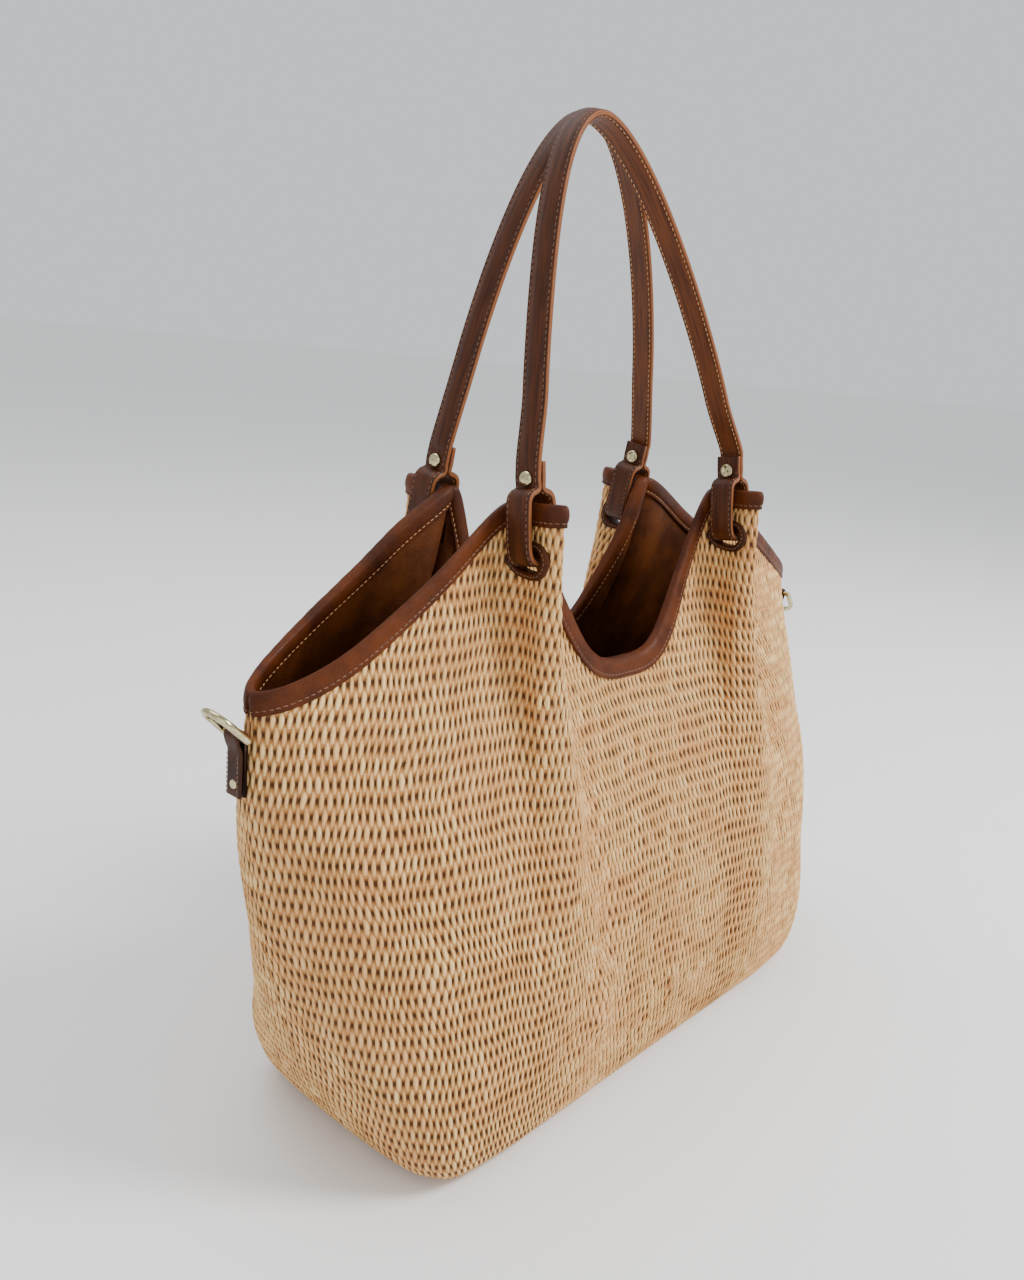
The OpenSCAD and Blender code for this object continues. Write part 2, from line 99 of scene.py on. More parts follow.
FOLD_START, FOLD_TIP, FOLD_END, MIDDLE = 4, 6, 8, 10


# ---------------------------------------------------------------- the body's surface

def smooth(a, b, x):
    t = np.clip((x - a) / (b - a), 0, 1)
    return t * t * (3 - 2 * t)


def level(z):
    """Plan of one quarter of the body at height z, blended between LEVELS."""
    i = np.clip(np.searchsorted(HEIGHTS, z, side="right") - 1, 0, LAST - 1)
    h = (HEIGHTS[i + 1] - HEIGHTS[i])[..., None]
    t = (z - HEIGHTS[i])[..., None] / h
    return ((2 * t**3 - 3 * t**2 + 1) * LEVELS[i] + (t**3 - 2 * t**2 + t) * h * SLOPES[i]
            + (3 * t**2 - 2 * t**3) * LEVELS[i + 1] + (t**3 - t**2) * h * SLOPES[i + 1])


def outline_points(plan, depth, fold_x):
    """The guide points of the quarter outline, at a depth inside the cloth."""
    end, square = plan[..., 1] - depth, plan[..., 2]
    root, tip = plan[..., 3] - depth, plan[..., 4] - depth
    half, centre = plan[..., 5] - depth, plan[..., 6] - depth
    none = 0 * end
    narrow = 1 - smooth(FOLD_HALF_THICKNESS, 34, plan[..., 5])
    shoulder = half * (0.5 + 0.3 * narrow)
    shoulder_y = root + (0.55 + 0.2 * narrow) * (tip - root)
    start = fold_x + half
    points = [(end, none)]
    for turn in np.radians([22.5, 45, 67.5]):
        points.append((start + (end - start) * math.cos(turn) ** (2 / square),
                       root * math.sin(turn) ** (2 / square)))
    points += [(start, root), (fold_x + shoulder, shoulder_y), (fold_x + none, tip),
               (fold_x - shoulder, shoulder_y), (fold_x - half, root),
               (0.45 * fold_x + none, centre + 0.3 * (root - centre)), (none, centre)]
    points = [(points[1][0], -points[1][1])] + points + [(-points[9][0], points[9][1])]
    return np.stack([np.stack(p, -1) for p in points], -2)


def slack(u, z, side, face):
    """How far the soft wall sinks in at a place, in millimetres; nothing near its edges."""
    along = side * (u + 0.3 * face)
    waves = (np.sin(1.9 * along + 0.021 * z + 1.3 * face) + np.sin(0.045 * z - 1.1 * along + 0.4)
             + 0.7 * np.sin(0.083 * z + 2.7 * along) + 0.5 * np.sin(3.9 * along - 0.05 * z))
    return 0.75 * (1.6 + waves) * smooth(20, 70, z) * (1 - smooth(175, 250, z)) * smooth(0, 1.2, u)


def body_point(u, z, depth, side, face):
    """Point of the body at outline place u, height z and depth inside the cloth."""
    u, z, depth, side = np.broadcast_arrays(np.asarray(u, float), z, depth, side)
    z = z.astype(float)
    guides = outline_points(level(z), depth + slack(u, z, side, face), FOLD_X[face])
    i = np.clip(np.floor(u).astype(int), 0, MIDDLE - 1)
    t = (u - i)[..., None]

    def guide(k):
        place = (i + k)[..., None, None] + np.zeros(guides.shape[-1], int)
        return np.take_along_axis(guides, place, -2)[..., 0, :]

    a, b, c, d = guide(0), guide(1), guide(2), guide(3)
    p = 0.5 * (2 * b + (c - a) * t + (2 * a - 5 * b + 4 * c - d) * t**2
               + (3 * b - a - 3 * c + d) * t**3)
    x = side * p[..., 0] + END_SAG * (p[..., 0] * 2 / BELLY_LENGTH) ** 2
    y = face * (np.maximum(p[..., 1], 0) + SEAM_GAP) - BASE_OFFSET * (1 - smooth(60, 300, z))
    return np.stack([x, y, z], -1)


def mouth(u, side, face):
    """Height of the mouth edge at outline place u."""
    low = np.where(np.asarray(side) == LEFT, END_DIP_HEIGHT[LEFT], END_DIP_HEIGHT[RIGHT])
    a = np.clip(u / FOLD_START, 0, 1)
    b = np.clip((u - FOLD_END) / (MIDDLE - FOLD_END), 0, 1)
    fold = np.clip((u - FOLD_START) / (FOLD_END - FOLD_START), 0, 1)
    end = low + (PEAK_HEIGHT - low) * (0.15 * a + 0.85 * smooth(0, 1, a**1.6))
    fall = smooth(0, 1, 1 - (1 - b) ** DIP_STEEPNESS[face])
    centre = PEAK_HEIGHT - (PEAK_HEIGHT - CENTRE_DIP_HEIGHT) * fall
    top = np.where(u < FOLD_END, PEAK_HEIGHT + 3 * np.sin(np.pi * fold), centre)
    return np.where(u < FOLD_START, end, top)


def below_edge(u, w, depth, side, face):
    """Point a distance w below the mouth edge, measured square to the edge."""
    a, b = np.maximum(u - 0.05, 0), np.minimum(u + 0.05, MIDDLE)
    z = mouth(u, side, face)
    rise = (mouth(b, side, face) - mouth(a, side, face)) / (b - a)
    step = body_point(b, z, 0, side, face) - body_point(a, z, 0, side, face)
    s = np.linalg.norm(step, axis=-1) / (b - a)
    length = np.hypot(s, rise)
    return body_point(np.clip(u + w * rise / length / s, 0, MIDDLE), z - w * s / length, depth, side, face)


# ---------------------------------------------------------------- mesh helpers

def grid_quads(rows, columns, closed=False):
    """Quads of a grid of points, row by row; closed joins the last column to the first."""
    r, c = np.meshgrid(np.arange(rows - 1), np.arange(columns if closed else columns - 1), indexing="ij")
    n = (c + 1) % columns
    quads = np.stack([r * columns + c, r * columns + n, (r + 1) * columns + n, (r + 1) * columns + c], -1)
    return quads.reshape(-1, 4)


def make_mesh(name, points, quads, material, uv=None):
    """A smooth mesh from points in millimetres and quads, with a UV map if uv is given."""
    points, quads = np.asarray(points, float).reshape(-1, 3), np.asarray(quads, int)
    mesh = bpy.data.meshes.new(name)
    mesh.vertices.add(len(points))
    mesh.vertices.foreach_set("co", (points * MM).astype(np.float32).ravel())
    mesh.loops.add(quads.size)
    mesh.loops.foreach_set("vertex_index", quads.astype(np.int32).ravel())
    mesh.polygons.add(len(quads))
    mesh.polygons.foreach_set("loop_start", np.arange(0, quads.size, 4, dtype=np.int32))
    mesh.update(calc_edges=True)
    if uv is not None:
        layer = mesh.uv_layers.new(name="UVMap")
        layer.data.foreach_set("uv", np.asarray(uv, np.float32).reshape(-1, 2)[quads.ravel()].ravel())
    mesh.validate()
    mesh.polygons.foreach_set("use_smooth", np.ones(len(mesh.polygons), bool))
    piece = bpy.data.objects.new(name, mesh)
    bpy.context.scene.collection.objects.link(piece)
    piece.data.materials.append(material)
    return piece


def unit(v):
    return v / np.maximum(np.linalg.norm(v, axis=-1, keepdims=True), 1e-9)


def lengths_along(points):
    return np.concatenate([[0], np.cumsum(np.linalg.norm(np.diff(points, axis=0), axis=1))])


def resample(points, spacing, *others):
    """Evenly spaced points of a line, with the other arrays carried along."""
    s = lengths_along(points)
    places = np.linspace(0, s[-1], max(2, int(round(s[-1] / spacing)) + 1))

    def carry(values):
        return np.stack([np.interp(places, s, v) for v in np.asarray(values, float).T], -1)

    return [carry(points)] + [carry(o) for o in others]


def sweep(name, rings, material, uv=None, ends=True):
    """A tube through rings of points, closed across its ends."""
    rings = np.asarray(rings, float)
    count, size = rings.shape[:2]
    quads = [grid_quads(count, size, closed=True)]
    if ends:
        for first, flip in ((0, False), ((count - 1) * size, True)):
            k = np.arange(size // 2 - 1)
            cap = np.stack([first + k, first + size - 1 - k, first + size - 2 - k, first + k + 1], -1)
            quads.append(cap[:, ::-1] if flip else cap)
    return make_mesh(name, rings, np.concatenate(quads), material, uv)


STITCH_RINGS = np.array([[-1, 0.25], [-0.86, 0.8], [-0.4, 1], [0.4, 1], [0.86, 0.8], [1, 0.25]])
STITCH_SIDES = 6


def stitches(name, lines, material, pitch=3.4, length=2.5, radius=0.34, slant=0.0):
    """Thread lying along lines; each line is (points, outward normals)."""
    points, quads, count = [], [], 0
    for line, normals in lines:
        line, normals = resample(line, pitch, normals)
        tangents = unit(np.gradient(line, axis=0))
        normals = unit(normals - tangents * np.sum(normals * tangents, -1, keepdims=True))
        across = np.cross(tangents, normals)
        run = unit(tangents + slant * across)
        turn = np.arange(STITCH_SIDES) * 2 * np.pi / STITCH_SIDES
        a, r = STITCH_RINGS[:, 0], STITCH_RINGS[:, 1] * radius
        along = (a * length / 2)[None, :, None, None] * run[:, None, None, :]
        dip = (-0.5 * radius * a**4)[None, :, None, None] * normals[:, None, None, :]
        wide = (r[:, None] * np.cos(turn))[None, :, :, None] * across[:, None, None, :]
        high = (r[:, None] * np.sin(turn))[None, :, :, None] * normals[:, None, None, :]
        body = line[:, None, None, :] + along + dip + wide + high
        rings = len(STITCH_RINGS)
        quads_one = [grid_quads(rings, STITCH_SIDES, closed=True)]
        for first, flip in ((0, False), ((rings - 1) * STITCH_SIDES, True)):
            k = np.arange(STITCH_SIDES // 2 - 1)
            last = first + STITCH_SIDES - 1
            cap = np.stack([first + k, last - k, last - 1 - k, first + k + 1], -1)
            quads_one.append(cap[:, ::-1] if flip else cap)
        quads_one = np.concatenate(quads_one)
        size = rings * STITCH_SIDES
        starts = count + size * np.arange(len(line))
        quads.append((quads_one[None] + starts[:, None, None]).reshape(-1, 4))
        points.append(body.reshape(-1, 3))
        count += size * len(line)
    return make_mesh(name, np.concatenate(points), np.concatenate(quads), material)


# ---------------------------------------------------------------- materials

def srgb(red, green, blue):
    """Linear colour from 0 to 255 display values."""
    def linear(v):
        v = v / 255
        return v / 12.92 if v <= 0.04045 else ((v + 0.055) / 1.055) ** 2.4
    return (linear(red), linear(green), linear(blue), 1.0)


class Shader:
    """A material's nodes, made by short calls that return output sockets."""

    def __init__(self, name, roughness, metallic=0.0, sheen=0.0, coat=0.0, specular=0.5):
        self.material = bpy.data.materials.new(name)
        self.material.use_nodes = True
        self.tree = self.material.node_tree
        self.surface = self.tree.nodes["Principled BSDF"]
        self.surface.inputs["Roughness"].default_value = roughness
        self.surface.inputs["Metallic"].default_value = metallic
        self.surface.inputs["Sheen Weight"].default_value = sheen
        self.surface.inputs["Coat Weight"].default_value = coat
        self.surface.inputs["Specular IOR Level"].default_value = specular
        self.height = None

    def node(self, kind, inputs, **settings):
        node = self.tree.nodes.new(kind)
        for key, value in settings.items():
            setattr(node, key, value)
        for key, value in inputs.items():
            self.put(node.inputs[key], value)
        return node

    def put(self, socket, value):
        if isinstance(value, bpy.types.NodeSocket):
            self.tree.links.new(value, socket)
        else:
            socket.default_value = value

    def math(self, operation, a, b=0.0, clamp=False):
        node = self.node("ShaderNodeMath", {0: a, 1: b}, operation=operation, use_clamp=clamp)
        return node.outputs[0]

    def ramp(self, value, low, high):
        """0 to 1 as value goes from low to high."""
        node = self.node("ShaderNodeMapRange", {"Value": value, "From Min": low, "From Max": high},
                         interpolation_type="SMOOTHSTEP")
        return node.outputs["Result"]

    def mix(self, factor, a, b, blend="MIX"):
        node = self.tree.nodes.new("ShaderNodeMix")
        node.data_type = "RGBA"
        node.blend_type = blend
        self.put(node.inputs[0], factor)
        self.put(node.inputs[6], a)
        self.put(node.inputs[7], b)
        return node.outputs[2]

    def place(self):
        """Position on the object, in millimetres."""
        spot = self.node("ShaderNodeTexCoord", {}).outputs["Object"]
        return self.node("ShaderNodeVectorMath", {0: spot, "Scale": 1 / MM}, operation="SCALE").outputs[0]

    def uv(self):
        spot = self.node("ShaderNodeUVMap", {}, uv_map="UVMap").outputs[0]
        parts = self.node("ShaderNodeSeparateXYZ", {0: spot})
        return parts.outputs[0], parts.outputs[1]

    def join(self, x, y, z=0.0):
        return self.node("ShaderNodeCombineXYZ", {0: x, 1: y, 2: z}).outputs[0]

    def noise(self, vector, scale, detail=3.0, roughness=0.55):
        node = self.node("ShaderNodeTexNoise", {"Vector": vector, "Scale": scale, "Detail": detail,
                                                "Roughness": roughness})
        return node.outputs[0]

    def cells(self, vector, scale, feature="F1"):
        node = self.node("ShaderNodeTexVoronoi", {"Vector": vector, "Scale": scale}, feature=feature)
        return node.outputs["Distance"]

    def bump(self, height, distance, strength=1.0):
        """Adds one layer of relief; distance is in millimetres."""
        inputs = {"Height": height, "Distance": distance * MM, "Strength": strength}
        if self.height is not None:
            inputs["Normal"] = self.height
        self.height = self.node("ShaderNodeBump", inputs).outputs[0]

    def finish(self, color, roughness=None):
        self.put(self.surface.inputs["Base Color"], color)
        if roughness is not None:
            self.put(self.surface.inputs["Roughness"], roughness)
        if self.height is not None:
            self.put(self.surface.inputs["Normal"], self.height)
        return self.material


# Shares of a column and a row; a float's tips reach past its row, between those of the next.
YARN_HALF_WIDTH, YARN_HALF_LENGTH = 0.34, 0.6
WEFT_LOW, WEFT_RISE = 0.16, 0.3


def straw_material():
    """Plain weave of twisted paper straw; the UV map counts columns and rows of yarn."""
    s = Shader("straw_weave", roughness=0.62, specular=0.22)
    c, r = s.uv()
    sway = s.noise(s.place(), 0.11, detail=2.0)
    c = s.math("ADD", c, s.math("MULTIPLY", s.math("SUBTRACT", sway, 0.5), 0.5))
    row = s.math("FLOOR", r)
    v = s.math("ABSOLUTE", s.math("SUBTRACT", s.math("SUBTRACT", r, row), 0.5))
    shift = s.math("MULTIPLY", s.math("FLOORED_MODULO", row, 2.0), 0.5)
    h = s.math("ADD", c, shift)
    column = s.math("FLOOR", h)
    x = s.math("ABSOLUTE", s.math("SUBTRACT", s.math("SUBTRACT", h, column), 0.5))

    yarn = s.join(column, row)
    tint = s.node("ShaderNodeTexWhiteNoise", {"Vector": yarn}, noise_dimensions="2D").outputs[0]
    width = s.math("MULTIPLY", YARN_HALF_WIDTH, s.math("ADD", 0.86, s.math("MULTIPLY", tint, 0.3)))

    def oval(dx, dv):
        ex = s.math("POWER", s.math("DIVIDE", dx, width), 2.0)
        ev = s.math("POWER", s.math("DIVIDE", dv, YARN_HALF_LENGTH), 2.0)
        return s.math("SQRT", s.math("MAXIMUM", s.math("SUBTRACT", 1.0, s.math("ADD", ex, ev)), 0.0))

    near = oval(x, v)
    far = oval(s.math("SUBTRACT", 0.5, x), s.math("SUBTRACT", 1.0, v))
    floats = s.math("MAXIMUM", near, far)
    weft = s.math("ADD", WEFT_LOW, s.math("MULTIPLY", 4 * WEFT_RISE, s.math("POWER", v, 2.0)))
    height = s.math("MAXIMUM", floats, weft)
    # fibres run along each yarn
    fibre_place = s.join(s.math("MULTIPLY", c, 11.0), s.math("MULTIPLY", r, 1.3),
                         s.math("MULTIPLY", column, 0.37))
    fibre = s.noise(fibre_place, 1.0, detail=4.0, roughness=0.6)
    fine_place = s.join(s.math("MULTIPLY", c, 34.0), s.math("MULTIPLY", r, 2.2))
    fine = s.noise(fine_place, 1.0, detail=2.0)
    broad = s.noise(s.place(), 0.02, detail=2.0)
    stretch = s.noise(s.join(s.math("MULTIPLY", c, 0.09), s.math("MULTIPLY", row, 3.7)), 1.0, detail=1.0)
    warm = s.mix(tint, srgb(222, 168, 98), srgb(244, 200, 132))
    warm = s.mix(s.math("MULTIPLY", s.ramp(fibre, 0.45, 0.75), 0.85), warm, srgb(255, 226, 166))
    warm = s.mix(s.math("MULTIPLY", s.ramp(fine, 0.54, 0.76), 0.6), warm, srgb(168, 110, 52))
    warm = s.mix(s.math("MULTIPLY", s.ramp(broad, 0.42, 0.7), 0.5), warm, srgb(222, 160, 102))
    warm = s.mix(s.math("MULTIPLY", s.ramp(stretch, 0.48, 0.7), 0.5), warm, srgb(206, 140, 84))
    # painted shade: the weft between two floats is coloured darkest at the middle of its row, where the
    # floats shade it
    shaded_hollow = s.mix(s.ramp(v, 0.06, 0.42), srgb(66, 35, 12), srgb(196, 136, 76))
    shaded_hollow = s.mix(s.math("MULTIPLY", s.ramp(fine, 0.4, 0.7), 0.5), shaded_hollow, srgb(120, 74, 32))
    # painted shade: each float darkens into the shaded hollow colour towards its low rim
    color = s.mix(s.ramp(floats, 0.16, 0.62), shaded_hollow, warm)
    s.bump(height, 1.6, 1.0)
    s.bump(fibre, 0.3, 0.7)
    return s.finish(color, s.math("ADD", 0.5, s.math("MULTIPLY", fibre, 0.25)))


def leather_material(name, dark, light, grain=1.0, roughness=0.42, wrinkle=0.0):
    """Pebbled leather: cells for the grain, with painted shade in their crevices, worn lighter in patches."""
    s = Shader(name, roughness=roughness, coat=0.01, specular=0.17)
    spot = s.place()
    warp = s.noise(spot, 0.9, detail=2.0)
    shift = s.join(warp, warp, warp)
    offset = s.node("ShaderNodeVectorMath", {0: spot, 1: shift}, operation="ADD").outputs[0]
    pebble = s.cells(offset, 1.15 / grain)
    crack = s.ramp(s.cells(offset, 1.15 / grain, feature="DISTANCE_TO_EDGE"), 0.0, 0.16)
    broad = s.noise(spot, 0.045, detail=3.0)
    fine = s.noise(spot, 3.0, detail=3.0)
    color = s.mix(s.ramp(broad, 0.3, 0.7), dark, light)
    # painted shade: the crevices between the pebbles are coloured darker
    seam = s.math("MULTIPLY", s.math("SUBTRACT", 1.0, crack), 0.35)
    color = s.mix(seam, color, tuple(0.4 * v for v in dark[:3]) + (1.0,))
    color = s.mix(s.math("MULTIPLY", s.ramp(fine, 0.5, 0.8), 0.18), color, light)
    s.bump(crack, 0.10 * grain, 0.8)
    s.bump(pebble, -0.06 * grain, 0.6)
    if wrinkle:
        s.bump(s.noise(spot, 0.35, detail=4.0, roughness=0.65), wrinkle, 0.8)
    rough = s.math("ADD", roughness - 0.08, s.math("MULTIPLY", fine, 0.2))
    return s.finish(color, rough)


def strap_material(name, dark, light, edge):
    """Smooth strap leather; the UV map is the length along and the distance across, in mm."""
    s = Shader(name, roughness=0.4, coat=0.02, specular=0.22)
    along, across = s.uv()
    out = s.math("ABSOLUTE", across)
    spot = s.place()
    grain = s.noise(spot, 2.2, detail=4.0, roughness=0.6)
    pore = s.ramp(s.cells(spot, 1.4, feature="DISTANCE_TO_EDGE"), 0.0, 0.14)
    streak_place = s.join(s.math("MULTIPLY", along, 0.03), s.math("MULTIPLY", across, 0.5))
    streak = s.noise(streak_place, 1.0, detail=3.0)
    color = s.mix(s.ramp(streak, 0.32, 0.7), dark, light)
    worn = s.math("MULTIPLY", s.ramp(grain, 0.5, 0.78), 0.2)
    color = s.mix(worn, color, tuple(0.5 * v for v in dark[:3]) + (1.0,))
    # painted shade: the leather is coloured darker along the sewn groove
    groove = s.math("SUBTRACT", 1.0, s.ramp(s.math("ABSOLUTE", s.math("SUBTRACT", out, STITCH_Y)), 0.1, 0.75))
    color = s.mix(s.math("MULTIPLY", groove, 0.55), color, tuple(0.3 * v for v in dark[:3]) + (1.0,))
    rim = s.ramp(out, STRAP_WIDTH / 2 - 0.35, STRAP_WIDTH / 2 - 0.1)
    color = s.mix(rim, color, edge)
    s.bump(pore, 0.05, 0.7)
    s.bump(grain, 0.08, 0.6)
    return s.finish(color, s.math("ADD", 0.3, s.math("MULTIPLY", grain, 0.24)))


def thread_material(name, color, light):
    s = Shader(name, roughness=0.7, sheen=0.2)
    spot = s.place()
    ply = s.noise(spot, 2.6, detail=2.0)
    s.bump(ply, 0.1, 0.8)
    return s.finish(s.mix(s.ramp(ply, 0.35, 0.65), color, light))


def metal_material():
    """Polished pale brass with faint scratches and dulled patches."""
    s = Shader("nickel", roughness=0.16, metallic=1.0)
    spot = s.place()
    dull = s.noise(spot, 0.5, detail=3.0)
    stretched = s.node("ShaderNodeVectorMath", {0: spot, 1: (0.6, 5.0, 5.0)}, operation="MULTIPLY").outputs[0]
    scratch = s.noise(stretched, 1.2, detail=4.0, roughness=0.7)
    dull = s.math("ADD", s.math("MULTIPLY", dull, 0.6), s.math("MULTIPLY", scratch, 0.4))
    color = s.mix(s.ramp(dull, 0.35, 0.7), srgb(176, 164, 122), srgb(216, 206, 168))
    return s.finish(color, s.math("ADD", 0.1, s.math("MULTIPLY", dull, 0.16)))


def board_material():
    s = Shader("board", roughness=0.85)
    fleck = s.noise(s.place(), 0.6, detail=5.0, roughness=0.7)
    s.bump(fleck, 0.1, 0.6)
    return s.finish(s.mix(s.ramp(fleck, 0.35, 0.65), srgb(132, 112, 88), srgb(164, 142, 114)))


STITCH_Y = 6.3
STRAW = straw_material()
TRIM = leather_material("trim_leather", srgb(62, 24, 3), srgb(98, 45, 8), wrinkle=0.22)
PATCH = leather_material("patch_leather", srgb(54, 23, 6), srgb(82, 40, 13))
LINING = leather_material("lining_leather", srgb(72, 33, 8), srgb(108, 56, 16), grain=1.35, roughness=0.5,
                          wrinkle=0.3)
TAB = leather_material("tab_leather", srgb(50, 26, 14), srgb(78, 42, 22))
STRAP = strap_material("strap_leather", srgb(52, 22, 5), srgb(82, 39, 11), srgb(134, 78, 40))
BACKING = strap_material("strap_backing", srgb(72, 33, 8), srgb(106, 54, 17), srgb(134, 78, 40))
DARK_THREAD = thread_material("dark_thread", srgb(52, 26, 12), srgb(150, 100, 62))
TAN_THREAD = thread_material("tan_thread", srgb(170, 112, 64), srgb(214, 160, 104))
METAL = metal_material()
BOARD = board_material()


# ---------------------------------------------------------------- the woven body

def even_places(spacing, heights, face, reference_height=200):
    """Outline places from end seam to middle, evenly spaced along the cloth at each height."""
    u = np.linspace(0, MIDDLE, 401)
    count = int(round(lengths_along(body_point(u, reference_height + 0 * u, 0, RIGHT, face))[-1] / spacing))
    rows = []
    for z in np.minimum(heights, PEAK_HEIGHT):
        s = lengths_along(body_point(u, z + 0 * u, 0, RIGHT, face))
        rows.append(np.interp(np.linspace(0, s[-1], count + 1), s, u))
    return np.array(rows)


def across_panel(quarter):
    """Places and sides from the left end seam over the middle to the right end seam."""
    u = np.concatenate([quarter, quarter[..., -2::-1]], -1)
    count = quarter.shape[-1]
    side = np.concatenate([np.full(count, LEFT), np.full(count - 1, RIGHT)])
    return u, side


def yarn_height(c, r):
    """Relief of the weave, 0 to 1, at a place counted in columns and rows."""
    row = np.floor(r)
    v = np.abs(r - row - 0.5)
    h = c + 0.5 * np.mod(row, 2)
    x = np.abs(h - np.floor(h) - 0.5)

    def oval(dx, dv):
        return np.sqrt(np.maximum(1 - (dx / YARN_HALF_WIDTH) ** 2 - (dv / YARN_HALF_LENGTH) ** 2, 0))

    weft = WEFT_LOW + 4 * WEFT_RISE * v**2
    return np.maximum(np.maximum(oval(x, v), oval(0.5 - x, 1 - v)), weft)


def woven_panel(label, face):
    """One half of the body, from the middle of the base up to the binding."""
    rise = np.arange(0, PEAK_HEIGHT + 6 - EDGE_RADIUS, ROW / ROW_STEPS) + EDGE_RADIUS
    bend = np.radians(np.linspace(0, 90, 2 * ROW_STEPS, endpoint=False))
    flat_rows = 5 * ROW_STEPS
    z = np.concatenate([0 * np.arange(flat_rows), EDGE_RADIUS * (1 - np.cos(bend)), rise])
    inset = np.concatenate([EDGE_RADIUS + 0 * np.arange(flat_rows), EDGE_RADIUS * (1 - np.sin(bend)),
                            0 * rise])
    rows = (np.arange(len(z)) + 0.5) / ROW_STEPS
    u, side = across_panel(even_places(COLUMN / COLUMN_STEPS, z, face))
    columns = (np.arange(u.shape[1]) + 0.5) / COLUMN_STEPS
    c, r = np.meshgrid(columns, rows)
    relief = yarn_height(c, r) * YARN_RELIEF
    wobble = 0.018 * np.sin(r * 0.9 + c * 0.21) + 0.014 * np.sin(c * 0.63 - r * 0.35)
    lift = 0.5 * np.sin(c * 0.31 + 1.7 * face) + 0.35 * np.sin(c * 0.83 - r * 0.12)
    place_u = np.clip(u + wobble * smooth(0, 0.5, u) * smooth(0, 0.5, MIDDLE - u), 0, MIDDLE)
    place_z = z[:, None] + lift * smooth(15, 40, z)[:, None] * smooth(0, 1, u)
    depth = YARN_RELIEF + inset[:, None] - relief
    points = body_point(place_u, place_z, depth, side[None, :], face)
    # the flat rows close the base towards its long middle line
    share = np.clip(np.arange(len(z)) / flat_rows, 0, 1)[:, None]
    spine = np.stack([np.clip(points[flat_rows][:, 0], -110, 110),
                      np.full(u.shape[1], -BASE_OFFSET + 0.0)], -1)
    under = np.arange(len(z)) < flat_rows
    edge = points[flat_rows][None, :, :2]
    points[under, :, :2] = (spine[None] + (edge - spine[None]) * share[..., None])[under]
    points[under, :, 2] = (YARN_RELIEF - relief)[under]
    wall_base = (~under)[:, None] * YARN_RELIEF * (1 - smooth(0, EDGE_RADIUS, z))[:, None]
    points[..., 2] += wall_base - relief * (~under)[:, None] * (1 - smooth(0, EDGE_RADIUS, z))[:, None]
    quads = grid_quads(len(z), u.shape[1])
    centre = points.reshape(-1, 3)[quads].mean(1)
    place = place_u.ravel()[quads].mean(1)
    which = np.broadcast_to(side[None, :], c.shape).ravel()[quads].max(1)
    keep = centre[:, 2] < mouth(place, which, face) - 3
    slot = ((np.abs(np.abs(centre[:, 1]) - SLOT_Y) < SLOT_WIDTH / 2 + 1.2)
            & (np.abs(centre[:, 2] - SLOT_Z) < SLOT_HEIGHT / 2 + 1.2) & (np.abs(place - FOLD_TIP) < 2))
    quads = quads[keep & ~slot]
    if face == BACK:
        quads = quads[:, ::-1]
    used = np.unique(quads)
    renumber = np.zeros(points.size // 3, int)
    renumber[used] = np.arange(len(used))
    uv = np.stack([c, r], -1).reshape(-1, 2)[used]
    piece = make_mesh(f"woven_body_{label}", points.reshape(-1, 3)[used], renumber[quads], STRAW, uv)
    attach(piece, "bag")
    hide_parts(f"woven_{label}")


def lining_piece(label, face):
    """Soft leather lining, a thin closed sheet inside the woven wall and over the board."""
    u, side = across_panel(even_places(4, [200], face)[0])
    share = np.concatenate([np.linspace(0, 0.2, 14), np.linspace(0.2, 1, 46)[1:]])
    top = mouth(u, side, face) - 1.5
    z = share[:, None] * top[None, :]
    waves = 0.5 * np.sin(u * 3.1 + side) + 0.5 * np.sin(u * 7.3)
    crease = waves[None, :] * smooth(0.25, 0.6, share)[:, None]
    crease = crease * (1 - smooth(0.86, 0.97, share))[:, None]
    base_height = 7 * (1 - smooth(0, 45, z))
    skins = []
    for depth in (LINING_DEPTH + 0.1, CLOTH_DEPTH):
        skin = body_point(u[None, :], z, depth + np.maximum(crease, -0.4) * 0.8, side[None, :], face)
        skin[..., 2] += base_height + (depth - LINING_DEPTH) * (1 - smooth(0, 45, z))
        floor = skin[:1].copy()
        floor[..., 0] = np.clip(floor[..., 0], -110, 110)
        floor[..., 1] = -BASE_OFFSET
        skins.append(np.concatenate([floor, skin]))
    rows, columns = skins[0].shape[:2]
    outer = grid_quads(rows, columns)
    inner = outer[:, ::-1] + rows * columns
    k = np.arange(columns - 1) + (rows - 1) * columns
    rim = np.stack([k, k + 1, k + 1 + rows * columns, k + rows * columns], -1)
    quads = np.concatenate([outer, inner, rim])
    points = np.concatenate([s.reshape(-1, 3) for s in skins])
    centre = points[quads].mean(1)
    slot = ((np.abs(np.abs(centre[:, 1]) - SLOT_Y) < SLOT_WIDTH / 2 + 1)
            & (np.abs(centre[:, 2] - SLOT_Z) < SLOT_HEIGHT / 2 + 1))
    quads = quads[~slot]
    if face == BACK:
        quads = quads[:, ::-1]
    piece = make_mesh(f"inner_lining_{label}", points, quads, LINING)
    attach(piece, "bag")
    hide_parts(f"lining_{label}")


# ---------------------------------------------------------------- the binding round the mouth

BINDING_STITCH = 7.7
# Outer half of the binding's section: distance below the edge, and how far it stands out.
BINDING_PROFILE = [(BINDING_WIDTH, 0.1), (BINDING_WIDTH, 1.0), (9.4, 1.35), (8.4, 1.2),
                   (BINDING_STITCH, 0.95), (7.0, 1.3), (5.8, 1.65), (4.2, 1.85), (2.5, 1.85),
                   (0.9, 1.6), (-0.5, 1.1), (-1.3, 0.2)]


